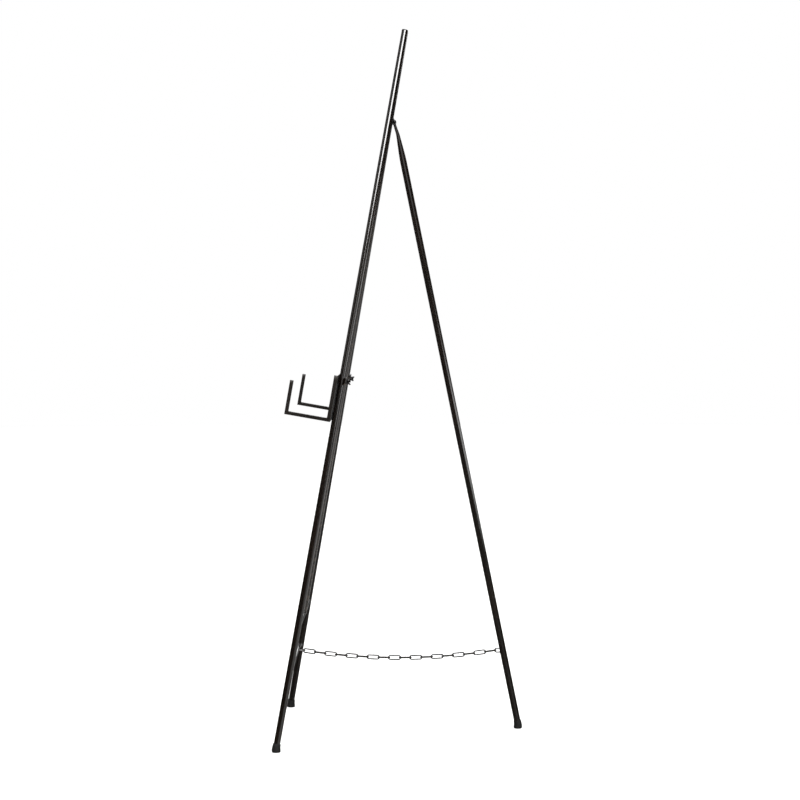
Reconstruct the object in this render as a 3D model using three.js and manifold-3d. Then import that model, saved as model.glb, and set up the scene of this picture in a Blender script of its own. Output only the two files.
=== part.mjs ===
// Tripod field easel: two splayed front legs and a centre mast in one leaning plane, a folding
// back leg held by a chain, and a sliding holder with two square-bar hooks.
// Millimetres, +Z up, front towards -Y, origin on the floor at the middle of the footprint.
import * as THREE from 'three';
import { mergeVertices } from 'three/addons/utils/BufferGeometryUtils.js';
import Module from 'manifold-3d';

const wasm = await Module();
wasm.setup();

// ---------- driving dimensions ----------
const HEIGHT = 1651; // floor to the tops of the tube plugs
const FOOT_SPREAD = 273; // front feet, each side of the middle
const FOOT_REACH = 280.5; // front feet before, back foot behind the middle
const TOP_BACK = 13.9; // the mast's top lies this far behind the middle
const TOP_SPREAD = 15.6; // leg axes at the top, each side of the mast
const GAP = 0.3; // clearance between pieces that touch
const TUBE_R = 7.5; // front legs and mast
const TUBE_WALL = 1.2;
const BACK_TUBE_R = 7;
const TUBE_SIDES = 24;
const FOOT_R = 10.2; // rubber foot at the floor
const FOOT_H = 19.5;
const FOOT_SOLE = 4.3; // rubber under the tube's end
const FOOT_LEAN = 2.6; // the sole sits this far inboard of the leg's axis
const PLUG_FLANGE = 1.6;
const PLUG_STEM = 8;
const UPPER_BAR_U = 280; // distances up the leaning plane carry the letter U
const UPPER_BAR_R = 6;
const LOWER_BAR_END_U = 162;
const LOWER_BAR_MID_U = 189.7;
const LOWER_BAR_R = 5;
const HINGE_U = 1462; // hinge pin of the back leg
const HINGE_BACK = 12; // pin behind the leaning plane
const PIN_R = 2.5;
const EYE_R = 4; // rolled end of the back leg
const EYE_HALF = 9;
const FLAT_LENGTH = 100; // flattened stretch below the pin
const FLAT_HALF = 3.5; // half thickness of that stretch at the pin
const CRANK = 3.6; // the back leg's tube runs this far behind its pin
const CRANK_LENGTH = 34; // its flattened end bends forward over this length
const SHEET = 2; // bracket and clamp bar thickness
const EAR_R = 4.8; // ears of the bracket, round the pin
const EAR_LOW = 5.5; // ears below and above the pin, where they meet the mast
const EAR_HIGH = 8;
const WEB_LOW = 3.9; // the web that joins the ears starts this far above the pin
const TIE_HEIGHT = 14;
const TIE_THICK = 4;
const HOOK_X = 251; // middle of each hook's bar
const BAR = 8; // square bar of the hooks
const HOLDER_U = 753.8; // underside of the arms
const POST_H = 105.5;
const ARM_DEPTH = 104;
const UPRIGHT_H = 78;
const HOLDER_FRONT = 7.9; // back faces of plate and posts, ahead of the leaning plane
const PLATE_THICK = 1.5;
const BOLT_X = 105;
const BOLT_U = HOLDER_U + POST_H - 13;
const BOLT_R = 3;
const CLAMP_OUT = 190; // outboard end of the clamp bar
const CLAMP_IN = 82; // inboard end, where the spacer stands
const SPACER_WIDE = 8;
const CLAMP_HALF = 8;
const WASHER_R = 6.5;
const WASHER_THICK = 1;
const WING_TURN_RIGHT = 48; // degrees the wings are turned from level
const WING_TURN_LEFT = 27;
const WIRE_R = 1.5; // chain and staple wire
const LINK_BEND_R = 4.5; // wire centre of a link's round end
const LINKS = 18;
const PITCH = 25.37;
const CHAIN_FRONT_Y = -229.7; // first and last hooking points of the chain
const CHAIN_BACK_Y = 225.2;
const CHAIN_Z = 186.8;
const STAPLE_EASE = 0.2; // extra room where the chain hooks a staple

// ---------- materials ----------
function paint(color, roughness, metalness) {
  return new THREE.MeshStandardMaterial({ color, roughness, metalness });
}
const BRONZE = paint(0x1a1512, 0.32, 0.7);
const HOOK_BRONZE = paint(0x2a2420, 0.42, 0.65);
const CHAIN_STEEL = paint(0x1d1a18, 0.35, 0.85);
const HARDWARE = paint(0x151413, 0.4, 0.8);
const RUBBER = paint(0x101010, 0.75, 0);
const PLUG_PLASTIC = paint(0x141414, 0.55, 0);

// ---------- derived places ----------
const FRONT_TILT = Math.atan2(FOOT_REACH + TOP_BACK, HEIGHT);
const TOP_U = HEIGHT / Math.cos(FRONT_TILT) - PLUG_FLANGE - GAP;
const SPLAY = Math.atan2(FOOT_SPREAD - TOP_SPREAD, TOP_U);
const LEG_LENGTH = Math.hypot(FOOT_SPREAD - TOP_SPREAD, TOP_U);
const legX = (u) => FOOT_SPREAD - (FOOT_SPREAD - TOP_SPREAD) * (u / TOP_U);

// The leaning plane's own frame: x across, y behind the plane, z up the plane.
const leaning = new THREE.Group();
leaning.position.set(0, -FOOT_REACH, 0);
leaning.rotation.x = -FRONT_TILT;
leaning.updateMatrixWorld(true);
const toWorld = (x, back, u) => new THREE.Vector3(x, back, u).applyMatrix4(leaning.matrixWorld);

const HINGE = toWorld(0, HINGE_BACK, HINGE_U);
const PIN_TO_FOOT = Math.hypot(FOOT_REACH - HINGE.y, HINGE.z);
const BACK_TILT = Math.atan2(FOOT_REACH - HINGE.y, HINGE.z) - Math.asin(CRANK / PIN_TO_FOOT);
const BACK_LENGTH = Math.sqrt(PIN_TO_FOOT ** 2 - CRANK ** 2);
const HOOK_STEP = 2 * WIRE_R + GAP; // between the centres of two hooked wires
const STAPLE_REACH = HOOK_STEP / 2 + STAPLE_EASE;

// ---------- geometry helpers ----------
function signedVolume(geometry) {
  const p = geometry.attributes.position;
  const at = (i) => new THREE.Vector3().fromBufferAttribute(p, geometry.index ? geometry.index.getX(i) : i);
  const count = geometry.index ? geometry.index.count : p.count;
  let total = 0;
  for (let i = 0; i < count; i += 3) {
    total += at(i).dot(at(i + 1).cross(at(i + 2))) / 6;
  }
  return total;
}

// Merges shared corners and turns the faces outward.
function closed(geometry) {
  const g = geometry.clone();
  g.deleteAttribute('normal');
  g.deleteAttribute('uv');
  const merged = mergeVertices(g, 1e-4);
  if (signedVolume(merged) < 0) {
    const index = merged.index;
    for (let i = 0; i < index.count; i += 3) {
      const first = index.getX(i);
      index.setX(i, index.getX(i + 1));
      index.setX(i + 1, first);
    }
  }
  return merged;
}

function solid(geometry) {
  const g = closed(geometry);
  return new wasm.Manifold(new wasm.Mesh({
    numProp: 3,
    vertProperties: new Float32Array(g.attributes.position.array),
    triVerts: new Uint32Array(g.index.array),
  }));
}

function toGeometry(manifold) {
  const mesh = manifold.getMesh();
  const g = new THREE.BufferGeometry();
  g.setAttribute('position', new THREE.BufferAttribute(new Float32Array(mesh.vertProperties), 3));
  g.setIndex(new THREE.BufferAttribute(new Uint32Array(mesh.triVerts), 1));
  return g;
}

// A turned piece: the profile is [radius, height] pairs, the axis is z.
function turned(profile, sides = TUBE_SIDES) {
  const points = profile.map(([r, h]) => new THREE.Vector2(r, h));
  return new THREE.LatheGeometry(points, sides).rotateX(Math.PI / 2);
}

const rod = (r, from, to, sides = TUBE_SIDES) => turned([[0, from], [r, from], [r, to], [0, to]], sides);

function pipe(outer, inner, from, to, sides = TUBE_SIDES) {
  return turned([[inner, from], [outer, from], [outer, to], [inner, to], [inner, from]], sides);
}

const alongX = (geometry) => geometry.rotateY(Math.PI / 2);
const alongY = (geometry) => geometry.rotateX(-Math.PI / 2);

function block(x0, x1, y0, y1, z0, z1) {
  const g = new THREE.BoxGeometry(x1 - x0, y1 - y0, z1 - z0);
  return g.translate((x0 + x1) / 2, (y0 + y1) / 2, (z0 + z1) / 2);
}

const polygon = (corners) => new THREE.Shape(corners.map(([y, z]) => new THREE.Vector2(y, z)));

// A flat outline in y and z, thickened across x.
function acrossX(outline, x0, x1) {
  const g = new THREE.ExtrudeGeometry(outline, { depth: x1 - x0, bevelEnabled: false, curveSegments: 12 });
  const turn = new THREE.Matrix4().makeBasis(
    new THREE.Vector3(0, 1, 0), new THREE.Vector3(0, 0, 1), new THREE.Vector3(1, 0, 0));
  return g.applyMatrix4(turn).translate(x0, 0, 0);
}

function wireAlong(path, radius, steps, sides = 8) {
  const section = new THREE.Shape();
  section.absarc(0, 0, radius, 0, 2 * Math.PI, false);
  const options = { extrudePath: path, steps, curveSegments: sides / 2, bevelEnabled: false };
  return new THREE.ExtrudeGeometry(section, options);
}

const easel = new THREE.Group();
easel.add(leaning);

function piece(name, geometry, material, parent = leaning) {
  const mesh = new THREE.Mesh(closed(geometry), material);
  mesh.name = name;
  parent.add(mesh);
  return mesh;
}

// side is +1 for the right leg (+X) and -1 for the left leg
const SIDES = [[1, 'right'], [-1, 'left']];

function placeOnLeg(geometry, side) {
  return geometry.clone().rotateY(-side * SPLAY).translate(side * FOOT_SPREAD, 0, 0);
}

const legSolid = (side, grow) => solid(placeOnLeg(rod(TUBE_R + grow, 0, LEG_LENGTH), side));

// ---------- front legs, mast and their plugs ----------
const TUBE_START = FOOT_SOLE + GAP;

function topPlug(name, place) {
  const stem = TUBE_R - TUBE_WALL - GAP;
  const flange = TUBE_R - 0.1;
  const profile = [
    [0, -PLUG_STEM], [stem, -PLUG_STEM], [stem, GAP], [flange, GAP],
    [flange, PLUG_FLANGE - 0.4], [flange - 0.6, PLUG_FLANGE + GAP], [0, PLUG_FLANGE + GAP],
  ];
  piece(name, place(turned(profile)), PLUG_PLASTIC);
}

function frontLegs() {
  for (const [side, word] of SIDES) {
    const tube = pipe(TUBE_R, TUBE_R - TUBE_WALL, TUBE_START, LEG_LENGTH);
    piece(`${word}_front_leg`, placeOnLeg(tube, side), BRONZE);
    topPlug(`${word}_leg_plug`, (g) => placeOnLeg(g.translate(0, 0, LEG_LENGTH), side));
  }
}

function mast() {
  const tube = solid(pipe(TUBE_R, TUBE_R - TUBE_WALL, UPPER_BAR_U, TOP_U));
  const saddle = solid(alongX(rod(UPPER_BAR_R + GAP, -40, 40)).translate(0, 0, UPPER_BAR_U));
  piece('mast', toGeometry(tube.subtract(saddle)), BRONZE);
  topPlug('mast_plug', (g) => g.translate(0, 0, TOP_U));
}

// ---------- low crossbars ----------
function betweenLegs(bar) {
  return toGeometry(bar.subtract(legSolid(1, GAP)).subtract(legSolid(-1, GAP)));
}

function crossbars() {
  const half = legX(UPPER_BAR_U);
  const straight = alongX(pipe(UPPER_BAR_R, UPPER_BAR_R - TUBE_WALL, -half, half));
  piece('upper_crossbar', betweenLegs(solid(straight.translate(0, 0, UPPER_BAR_U))), BRONZE);

  const end = legX(LOWER_BAR_END_U);
  const rise = LOWER_BAR_MID_U - LOWER_BAR_END_U;
  const arch = new THREE.QuadraticBezierCurve3(
    new THREE.Vector3(-end, 0, LOWER_BAR_END_U),
    new THREE.Vector3(0, 0, LOWER_BAR_END_U + 2 * rise),
    new THREE.Vector3(end, 0, LOWER_BAR_END_U));
  piece('lower_crossbar', betweenLegs(solid(wireAlong(arch, LOWER_BAR_R, 20, 16))), BRONZE);
}

function tieBars() {
  const post = solid(rod(TUBE_R + GAP, HINGE_U - 40, HINGE_U + 40));
  for (const [side, word] of SIDES) {
    const reach = side * legX(HINGE_U);
    const bar = block(Math.min(0, reach), Math.max(0, reach), -TIE_THICK / 2, TIE_THICK / 2,
      HINGE_U - TIE_HEIGHT / 2, HINGE_U + TIE_HEIGHT / 2);
    const coped = solid(bar).subtract(post).subtract(legSolid(side, GAP));
    piece(`${word}_tie_bar`, toGeometry(coped), BRONZE);
  }
}

// ---------- rubber feet ----------
function foot(name, floorPoint, direction, tubeRadius) {
  const profile = [
    [0, -6], [FOOT_R, -6], [FOOT_R, 2.5], [FOOT_R - 0.5, 7], [FOOT_R - 1.2, 13],
    [FOOT_R - 1.7, FOOT_H], [0, FOOT_H],
  ];
  const aim = new THREE.Quaternion().setFromUnitVectors(new THREE.Vector3(0, 0, 1), direction);
  const cap = turned(profile).applyQuaternion(aim);
  const inboard = new THREE.Vector2(direction.x, direction.y).setLength(FOOT_LEAN);
  const p = cap.attributes.position;
  for (let i = 0; i < p.count; i += 1) {
    const lean = 1 - THREE.MathUtils.clamp(p.getZ(i) / FOOT_H, 0, 1);
    p.setXY(i, p.getX(i) + inboard.x * lean, p.getY(i) + inboard.y * lean);
  }
  const socket = rod(tubeRadius + GAP, FOOT_SOLE, FOOT_H + 9).applyQuaternion(aim);
  const aboveFloor = block(-50, 50, -50, 50, 0, 100);
  const rubber = solid(cap).intersect(solid(aboveFloor)).subtract(solid(socket));
  piece(name, toGeometry(rubber).translate(...floorPoint), RUBBER, easel);
}

function feet() {
  for (const [side, word] of SIDES) {
    const start = toWorld(side * FOOT_SPREAD, 0, 0);
    const end = toWorld(side * TOP_SPREAD, 0, TOP_U);
    foot(`${word}_foot`, start, end.sub(start).normalize(), TUBE_R);
  }
  const upBackLeg = new THREE.Vector3(0, -Math.sin(BACK_TILT), Math.cos(BACK_TILT));
  foot('back_foot', new THREE.Vector3(0, FOOT_REACH, 0), upBackLeg, BACK_TUBE_R);
}

// ---------- hinge of the back leg ----------
function hinge() {
  const wide = EYE_HALF + 0.4 + SHEET;
  const slot = EYE_HALF + 0.4;
  const near = TUBE_R + GAP;
  const far = HINGE_BACK + EAR_R;
  const channel = solid(block(-wide, wide, near, far, HINGE_U - EAR_LOW, HINGE_U + EAR_HIGH))
    .subtract(solid(block(-slot, slot, near + SHEET, far + 1, HINGE_U - 9, HINGE_U + 9)))
    .subtract(solid(block(-slot, slot, near - 1, far + 1, HINGE_U - 9, HINGE_U + WEB_LOW)));
  const side = new THREE.Shape();
  side.moveTo(near - 1, HINGE_U - EAR_LOW);
  side.lineTo(near + SHEET, HINGE_U - EAR_LOW);
  side.absarc(HINGE_BACK, HINGE_U, EAR_R, -Math.PI / 2, Math.PI / 2, false);
  side.lineTo(near + SHEET, HINGE_U + EAR_HIGH);
  side.lineTo(near - 1, HINGE_U + EAR_HIGH);
  const pinHole = solid(alongX(rod(PIN_R + GAP, -30, 30, 16)).translate(0, HINGE_BACK, HINGE_U));
  const bracket = channel.intersect(solid(acrossX(side, -wide - 1, wide + 1))).subtract(pinHole);
  piece('hinge_bracket', toGeometry(bracket), BRONZE);

  const seat = wide + GAP;
  const pin = [
    [0, -seat - 5], [PIN_R, -seat - 5], [PIN_R, seat],
    [4.2, seat], [4.2, seat + 1.6], [2.6, seat + 2.8], [0, seat + 2.8],
  ];
  piece('hinge_pin', alongX(turned(pin, 16)).translate(0, HINGE_BACK, HINGE_U), HARDWARE);
  const nut = solid(rod(4.6, -seat - 3.6, -seat, 6)).subtract(solid(rod(PIN_R + GAP, -seat - 5, 0, 16)));
  piece('hinge_nut', alongX(toGeometry(nut)).translate(0, HINGE_BACK, HINGE_U), HARDWARE);
}

// ---------- folding back leg ----------
const backLeg = new THREE.Group();
backLeg.position.copy(HINGE);
backLeg.rotation.x = BACK_TILT;
easel.add(backLeg);
backLeg.updateMatrixWorld(true);

function backTube(grow) {
  const steps = 14;
  const profile = [[0, TUBE_START - BACK_LENGTH]];
  profile.push([BACK_TUBE_R + grow, TUBE_START - BACK_LENGTH]);
  for (let i = 0; i <= steps; i += 1) {
    profile.push([BACK_TUBE_R + grow, -FLAT_LENGTH * (1 - i / steps)]);
  }
  profile.push([0, 0]);
  const g = turned(profile);
  const p = g.attributes.position;
  for (let i = 0; i < p.count; i += 1) {
    const t = THREE.MathUtils.smoothstep(p.getZ(i), -FLAT_LENGTH, -4);
    const narrow = THREE.MathUtils.lerp(1, FLAT_HALF / BACK_TUBE_R, t);
    const widen = THREE.MathUtils.lerp(1, EYE_HALF / BACK_TUBE_R, t);
    const behind = CRANK * (1 - THREE.MathUtils.smoothstep(p.getZ(i), -CRANK_LENGTH, -3));
    p.setX(i, p.getX(i) * widen);
    p.setY(i, p.getY(i) * narrow + behind);
  }
  return g;
}

function backLegPieces() {
  const eye = solid(alongX(rod(EYE_R, -EYE_HALF, EYE_HALF, 20)));
  const bore = solid(rod(BACK_TUBE_R - TUBE_WALL, -BACK_LENGTH, -FLAT_LENGTH - 4).translate(0, CRANK, 0));
  const pinHole = solid(alongX(rod(PIN_R + GAP, -30, 30, 16)));
  const tube = solid(backTube(0)).add(eye).subtract(bore).subtract(pinHole);
  piece('back_leg_tube', toGeometry(tube), BRONZE, backLeg);
}

// ---------- chain, its front eye and its back staple ----------
// A staple is a half ring of wire with two prongs; bight is its outermost wire centre.
function staple(bight, toward, across, prong) {
  const centre = bight.clone().addScaledVector(toward, LINK_BEND_R);
  const path = new THREE.CurvePath();
  function at(sideways, deep) {
    return centre.clone().addScaledVector(across, sideways).addScaledVector(toward, deep);
  }
  const bends = 10;
  const points = [at(LINK_BEND_R, prong)];
  for (let i = 0; i <= bends; i += 1) {
    const a = (Math.PI * i) / bends;
    points.push(at(Math.cos(a) * LINK_BEND_R, -Math.sin(a) * LINK_BEND_R));
  }
  points.push(at(-LINK_BEND_R, prong));
  for (let i = 1; i < points.length; i += 1) {
    path.add(new THREE.LineCurve3(points[i - 1], points[i]));
  }
  return wireAlong(path, WIRE_R, 24);
}

function staples() {
  const eyeBight = new THREE.Vector3(0, CHAIN_FRONT_Y + STAPLE_REACH, CHAIN_Z);
  const eye = solid(staple(eyeBight, new THREE.Vector3(0, -1, 0), new THREE.Vector3(1, 0, 0), 12));
  const barCentre = toWorld(0, 0, LOWER_BAR_MID_U);
  const bar = solid(alongX(rod(LOWER_BAR_R + GAP, -30, 30)).translate(0, barCentre.y, barCentre.z));
  piece('front_chain_eye', toGeometry(eye.subtract(bar)), BRONZE, easel);

  const rearBight = new THREE.Vector3(0, CHAIN_BACK_Y - STAPLE_REACH, CHAIN_Z);
  const rear = solid(staple(rearBight, new THREE.Vector3(0, 1, 0), new THREE.Vector3(0, 0, 1), 14));
  const leg = backTube(GAP).applyMatrix4(backLeg.matrixWorld);
  piece('back_chain_staple', toGeometry(rear.subtract(solid(leg))), BRONZE, easel);
}

// A long link: a wire ring whose two halves are drawn apart.
function linkGeometry() {
  const bends = 12;
  const g = new THREE.TorusGeometry(LINK_BEND_R, WIRE_R, 8, bends).rotateZ(Math.PI / bends);
  const stretch = (PITCH + HOOK_STEP) / 2 - LINK_BEND_R;
  const p = g.attributes.position;
  for (let i = 0; i < p.count; i += 1) {
    p.setX(i, p.getX(i) + Math.sign(p.getX(i)) * stretch);
  }
  return g;
}

// Slope of each link when a chain of this length hangs freely over the span.
function linkSlopes() {
  const span = CHAIN_BACK_Y - CHAIN_FRONT_Y;
  const slope = (k, bend) => Math.atan((k + 0.5 - LINKS / 2) * bend);
  let low = 0;
  let high = 0.2;
  for (let i = 0; i < 60; i += 1) {
    const bend = (low + high) / 2;
    let reach = 0;
    for (let k = 0; k < LINKS; k += 1) reach += PITCH * Math.cos(slope(k, bend));
    if (reach > span) low = bend;
    else high = bend;
  }
  return Array.from({ length: LINKS }, (_, k) => slope(k, low));
}

function chain() {
  const slopes = linkSlopes();
  const at = new THREE.Vector3(0, CHAIN_FRONT_Y, CHAIN_Z);
  slopes.forEach((slope, k) => {
    const along = new THREE.Vector3(0, Math.cos(slope), Math.sin(slope));
    const holder = new THREE.Group();
    holder.position.copy(at).addScaledVector(along, PITCH / 2);
    holder.rotation.set(slope, 0, 0);
    easel.add(holder);
    const link = linkGeometry().rotateZ(Math.PI / 2);
    if (k % 2 === 0) link.rotateY(Math.PI / 2);
    piece(`chain_link_${String(k + 1).padStart(2, '0')}`, link, CHAIN_STEEL, holder);
    at.addScaledVector(along, PITCH);
  });
}

// ---------- sliding holder ----------
function hook(side, word) {
  const x0 = side * HOOK_X - BAR / 2;
  const x1 = x0 + BAR;
  const mitre = GAP * Math.SQRT1_2 * 2;
  const back = -HOLDER_FRONT;
  const front = -HOLDER_FRONT - ARM_DEPTH;
  const low = HOLDER_U;
  const top = HOLDER_U + BAR;
  const parts = {
    post: [[back, low + mitre], [back, low + POST_H], [back - BAR, low + POST_H], [back - BAR, top + mitre]],
    arm: [[back - mitre, low], [back - BAR - mitre, top], [front + BAR, top], [front, low]],
    upright: [
      [front, low + mitre], [front + BAR, top + mitre],
      [front + BAR, low + UPRIGHT_H], [front, low + UPRIGHT_H],
    ],
  };
  for (const [name, corners] of Object.entries(parts)) {
    piece(`${word}_hook_${name}`, acrossX(polygon(corners), x0, x1), HOOK_BRONZE);
  }
}

function backPlate() {
  const half = HOOK_X - BAR / 2 - GAP;
  const shape = new THREE.Shape();
  shape.moveTo(-half, HOLDER_U);
  shape.lineTo(half, HOLDER_U);
  shape.lineTo(half, HOLDER_U + POST_H);
  shape.lineTo(-half, HOLDER_U + POST_H);
  for (const [side] of SIDES) {
    const hole = new THREE.Path();
    hole.absarc(side * BOLT_X, BOLT_U, BOLT_R + GAP, 0, 2 * Math.PI, true);
    shape.holes.push(hole);
  }
  const g = new THREE.ExtrudeGeometry(shape, { depth: PLATE_THICK, bevelEnabled: false, curveSegments: 8 });
  piece('holder_plate', g.rotateX(Math.PI / 2).translate(0, -HOLDER_FRONT, 0), HOOK_BRONZE);
}

const CLAMP_NEAR = TUBE_R + GAP;
const CLAMP_FAR = CLAMP_NEAR + SHEET;
const WASHER_NEAR = CLAMP_FAR + GAP;
const NUT_NEAR = WASHER_NEAR + WASHER_THICK + GAP;
const NUT_LENGTH = 5;
const BOLT_END = NUT_NEAR + NUT_LENGTH + 2.2;

const onBolt = (geometry, side) => alongY(geometry).translate(side * BOLT_X, 0, BOLT_U);

function clampBolt(side, word) {
  const head = -HOLDER_FRONT - PLATE_THICK - GAP;
  const profile = [
    [0, head - 3.2], [3.4, head - 2.9], [6, head - 1.7], [7, head],
    [BOLT_R, head], [BOLT_R, BOLT_END - 0.6], [BOLT_R - 0.6, BOLT_END], [0, BOLT_END],
  ];
  piece(`${word}_clamp_bolt`, onBolt(turned(profile, 16), side), HARDWARE);
}

// The flat bar bears on the back of the leg; the spacer keeps its inboard end off the plate.
function clampBar(side, word) {
  const strip = (inboard, outboard, y0, y1) => block(
    Math.min(side * inboard, side * outboard), Math.max(side * inboard, side * outboard),
    y0, y1, BOLT_U - CLAMP_HALF, BOLT_U + CLAMP_HALF);
  const flat = solid(strip(CLAMP_IN, CLAMP_OUT, CLAMP_NEAR, CLAMP_FAR));
  const hole = solid(onBolt(rod(BOLT_R + GAP, -30, 30, 16), side));
  piece(`${word}_clamp_bar`, toGeometry(flat.subtract(hole)), HOOK_BRONZE);
  const spacer = strip(CLAMP_IN, CLAMP_IN + SPACER_WIDE, GAP - HOLDER_FRONT, CLAMP_NEAR - GAP);
  piece(`${word}_clamp_spacer`, spacer, HOOK_BRONZE);
}

function washer(side, word) {
  const ring = pipe(WASHER_R, BOLT_R + GAP, WASHER_NEAR, WASHER_NEAR + WASHER_THICK, 20);
  piece(`${word}_washer`, onBolt(ring, side), HARDWARE);
}

function wingNut(side, word, turn) {
  const end = NUT_NEAR + NUT_LENGTH;
  const hub = solid(turned([[0, NUT_NEAR], [5, NUT_NEAR], [4.4, end - 0.6], [3.9, end], [0, end]], 20));
  let nut = hub;
  for (const way of [1, -1]) {
    const wing = new THREE.Shape();
    wing.moveTo(3, NUT_NEAR + 0.6);
    wing.lineTo(5.6, NUT_NEAR + 0.8);
    wing.quadraticCurveTo(9.2, NUT_NEAR + 2.4, 10.4, NUT_NEAR + 6.4);
    wing.quadraticCurveTo(10.6, NUT_NEAR + 8.8, 8.8, NUT_NEAR + 8.6);
    wing.quadraticCurveTo(7.2, NUT_NEAR + 8.2, 6.2, NUT_NEAR + 5.6);
    wing.lineTo(3, NUT_NEAR + 4.4);
    const flat = new THREE.ExtrudeGeometry(wing, { depth: 2, bevelEnabled: false, curveSegments: 5 });
    flat.translate(0, 0, -1).rotateX(Math.PI / 2).rotateZ(way > 0 ? 0 : Math.PI);
    nut = nut.add(solid(flat));
  }
  nut = nut.subtract(solid(rod(BOLT_R + GAP, NUT_NEAR - 1, end + 1, 16)));
  const turnedNut = toGeometry(nut).rotateZ(THREE.MathUtils.degToRad(turn));
  piece(`${word}_wing_nut`, onBolt(turnedNut, side), HARDWARE);
}

function holder() {
  backPlate();
  for (const [side, word] of SIDES) {
    hook(side, word);
    clampBolt(side, word);
    clampBar(side, word);
    washer(side, word);
    wingNut(side, word, side > 0 ? WING_TURN_RIGHT : WING_TURN_LEFT);
  }
}

frontLegs();
mast();
crossbars();
tieBars();
feet();
hinge();
backLegPieces();
staples();
chain();
holder();

export default easel;
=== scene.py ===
"""Looks of the tripod field easel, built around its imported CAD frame. Metres, +Z up."""
import math

import bmesh
import bpy
import numpy as np
from mathutils import Matrix, Vector, noise


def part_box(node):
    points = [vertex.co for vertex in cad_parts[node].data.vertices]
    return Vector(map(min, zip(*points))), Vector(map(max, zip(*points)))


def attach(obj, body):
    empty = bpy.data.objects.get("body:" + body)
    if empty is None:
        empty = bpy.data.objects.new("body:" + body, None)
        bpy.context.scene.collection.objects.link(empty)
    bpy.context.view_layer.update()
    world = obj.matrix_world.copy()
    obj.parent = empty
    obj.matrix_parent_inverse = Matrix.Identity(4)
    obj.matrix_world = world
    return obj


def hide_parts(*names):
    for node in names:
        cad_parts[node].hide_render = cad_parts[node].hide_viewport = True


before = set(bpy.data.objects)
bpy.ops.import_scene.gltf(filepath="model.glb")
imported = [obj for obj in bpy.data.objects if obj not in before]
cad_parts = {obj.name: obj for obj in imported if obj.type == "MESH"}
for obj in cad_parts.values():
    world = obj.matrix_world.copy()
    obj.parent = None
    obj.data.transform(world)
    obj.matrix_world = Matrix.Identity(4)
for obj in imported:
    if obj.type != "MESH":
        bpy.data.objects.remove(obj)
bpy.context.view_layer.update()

# ---------- small values ----------
MM = 0.001
SIDES = 48  # round the tubes
EMBED = 0.2 * MM  # a coped or welded end sinks this far into its neighbour
WALL = 1.2 * MM  # of the tubes
PIN_R = 2.5 * MM
BOLT_R = 3 * MM
THREAD_PITCH = 1.0 * MM
GAP = 0.3 * MM  # between pieces that touch
TINY = 0.01 * MM  # closes a turned shape on its axis
X = Vector((1, 0, 0))
Z = Vector((0, 0, 1))
HANDS = ((1, "right"), (-1, "left"))


# ---------- reading the frame ----------
def points(node):
    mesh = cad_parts[node].data
    co = np.empty(len(mesh.vertices) * 3)
    mesh.vertices.foreach_get("co", co)
    return co.reshape(-1, 3)


def basis(side, back, up, origin):
    m = Matrix((side, back, up)).transposed().to_4x4()
    m.translation = origin
    return m


def axis(node, below=math.inf):
    """Lower end, upper end and radius of a straight round node, or of its part below a height."""
    co = points(node)
    co = co[co[:, 2] < below]
    middle = co.mean(0)
    along = np.linalg.svd(co - middle, full_matrices=False)[2][0]
    along = along * np.sign(along[2] + 1e-9)
    t = (co - middle) @ along
    low, high = t.min(), t.max()
    off = co - middle - np.outer(t, along)
    radius = float(np.linalg.norm(off, axis=1).max())
    return Vector(middle + along * low), Vector(middle + along * high), radius


def box_in(space, node):
    """Lowest and highest corner of a node in another space."""
    turn = np.array(space.inverted())
    co = points(node) @ turn[:3, :3].T + turn[:3, 3]
    return Vector(co.min(0)), Vector(co.max(0))


def upward(ends, origin):
    """A space at origin whose Z runs from the first end to the second, with Y behind it."""
    up = (ends[1] - ends[0]).normalized()
    back = up.cross(X).normalized()
    return basis(back.cross(up), back, up, origin)


def floor_point(ends):
    """Where the line through both ends meets the floor."""
    up = (ends[1] - ends[0]).normalized()
    return ends[0] - up * (ends[0].z / up.z)


def half_thickness(node):
    """Half of what a node measures through the leaning plane."""
    lo, hi = box_in(PLANE, node)
    return (hi.y - lo.y) / 2


PIN = sum(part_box("hinge_pin"), Vector()) / 2
AXIS = {f"{hand}_front_leg": axis(f"{hand}_front_leg") for _, hand in HANDS}
AXIS["mast"] = axis("mast")
AXIS["back_leg_tube"] = axis("back_leg_tube", PIN.z - 90 * MM)
PLANE = upward(AXIS["mast"], floor_point(AXIS["mast"]))  # the leaning plane, from the floor up
BACK_LEG = upward(AXIS["back_leg_tube"], Vector((0, PIN.y, PIN.z)))
LEG_ENDS = [PLANE.inverted() @ end for end in AXIS["right_front_leg"][:2]]
TUBE_R = AXIS["right_front_leg"][2]
BACK_R = AXIS["back_leg_tube"][2]
BAR_R = half_thickness("upper_crossbar")
LINKS = sum(name.startswith("chain_link_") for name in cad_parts)


# ---------- mesh helpers ----------
def make(name, verts, faces, body, slot, material, space=None, nodes=(), sharp=40):
    """A finished piece: smooth faces, with edges over this many degrees kept sharp."""
    mesh = bpy.data.meshes.new(name)
    mesh.from_pydata([tuple(v) for v in verts], [], faces)
    return finish_piece(name, mesh, body, material, space, nodes, sharp)


def finish_piece(name, mesh, body, material, space=None, nodes=(), sharp=40):
    if space is not None:
        mesh.transform(space)
    bm = bmesh.new()
    bm.from_mesh(mesh)
    bmesh.ops.recalc_face_normals(bm, faces=bm.faces)
    bm.to_mesh(mesh)
    bm.free()
    for polygon in mesh.polygons:
        polygon.use_smooth = True
    mesh.set_sharp_from_angle(angle=math.radians(sharp))
    mesh.materials.clear()
    mesh.materials.append(material)
    piece = bpy.data.objects.new(name, mesh)
    bpy.context.scene.collection.objects.link(piece)
    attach(piece, body)
    if nodes:
        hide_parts(*nodes)
    return piece


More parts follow.
